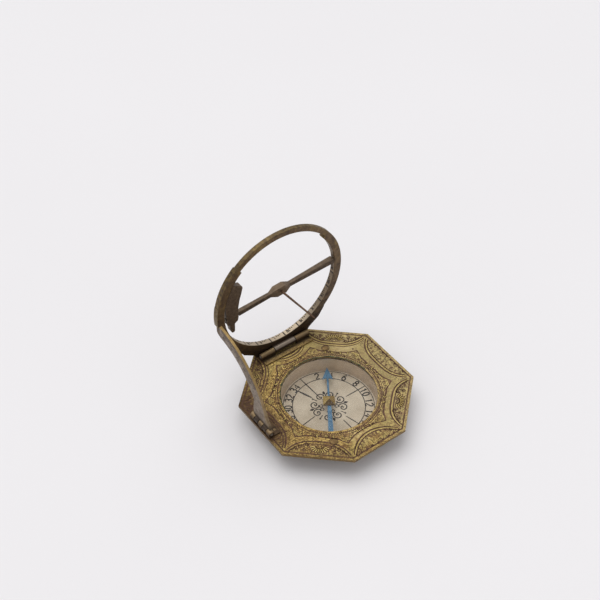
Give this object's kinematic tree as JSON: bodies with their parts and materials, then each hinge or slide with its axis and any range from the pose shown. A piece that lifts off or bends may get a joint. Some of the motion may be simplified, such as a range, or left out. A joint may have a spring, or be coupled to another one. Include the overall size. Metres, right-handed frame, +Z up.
{
  "type": "universal equinoctial pocket sundial with compass",
  "caption": "Octagonal pocket sundial plate with a glazed compass, a folding hour ring with crossbar and gnomon, and a folding latitude arc.",
  "frame": {"origin": "middle of the compass bowl's flat underside face plane, below the middle of the plate", "axes": "+Z up from the surface it rests on; +Y north, towards the hour ring's hinge; +X east, away from the latitude arc's hinge"},
  "size_m": [0.056, 0.0577, 0.0605],
  "materials": {
    "plate_brass": "engraved, old patina",
    "window_glass": "clear old glass",
    "bowl_brass": "plain, old patina",
    "card_paper": "aged paper with ink lines",
    "pin_steel": "filed",
    "screw_brass": "dark patina",
    "hinge_brass": "worn bright on the knuckles",
    "rivet_brass": "filed flush",
    "needle_steel": "blued",
    "cap_brass": "polished",
    "ring_brass": "dark brown patina, divided by engraving",
    "bar_brass": "dark brown patina, worn bright on its edges",
    "gnomon_brass": "dark brown patina",
    "arc_brass": "grey-brown patina, divided by engraving"
  },
  "bodies": {
    "base": {"base_plate": "plate_brass", "compass_glass": "window_glass", "compass_bowl": "bowl_brass", "compass_card": "card_paper", "needle_pivot": "pin_steel", "case_screws": "screw_brass", "ring_hinge_base": "hinge_brass", "ring_hinge_pin": "pin_steel", "ring_hinge_rivets": "rivet_brass", "arc_hinge_base": "hinge_brass", "arc_hinge_pin": "pin_steel", "arc_hinge_rivets": "rivet_brass"},
    "needle": {"compass_needle": "needle_steel", "needle_cap": "cap_brass"},
    "ring": {"hour_ring": "ring_brass", "ring_foot": "ring_brass", "latitude_index": "ring_brass", "pivot_plate": "ring_brass", "pivot_plate_pins": "rivet_brass"},
    "gnomon": {"crossbar": "bar_brass", "crossbar_pivots": "pin_steel", "gnomon_pin": "gnomon_brass"},
    "arc": {"latitude_arc": "arc_brass"}
  },
  "joints": [
    {"name": "ring_fold", "type": "hinge", "parent": "base", "child": "ring", "pos_m": [0, 0.025, 0.00955], "axis": [1, 0, 0], "range_deg": [0, 90]},
    {"name": "gnomon_turn", "type": "hinge", "parent": "ring", "child": "gnomon", "pos_m": [0, 0.0275, 0.03485], "axis": [0.9976, 0, 0.0698], "range_deg": [-82, 0]},
    {"name": "arc_fold", "type": "hinge", "parent": "base", "child": "arc", "pos_m": [-0.0268, 0.0003, 0.00955], "axis": [0, 1, 0], "range_deg": [0, 90]},
    {"name": "needle_spin", "type": "hinge", "parent": "base", "child": "needle", "pos_m": [0, -0.0012, 0.0035], "axis": [0, 0, 1], "continuous": true}
  ],
  "couplings": [
    {"joint": "gnomon_turn", "follows": "ring_fold", "ratio": -0.91111}
  ]
}
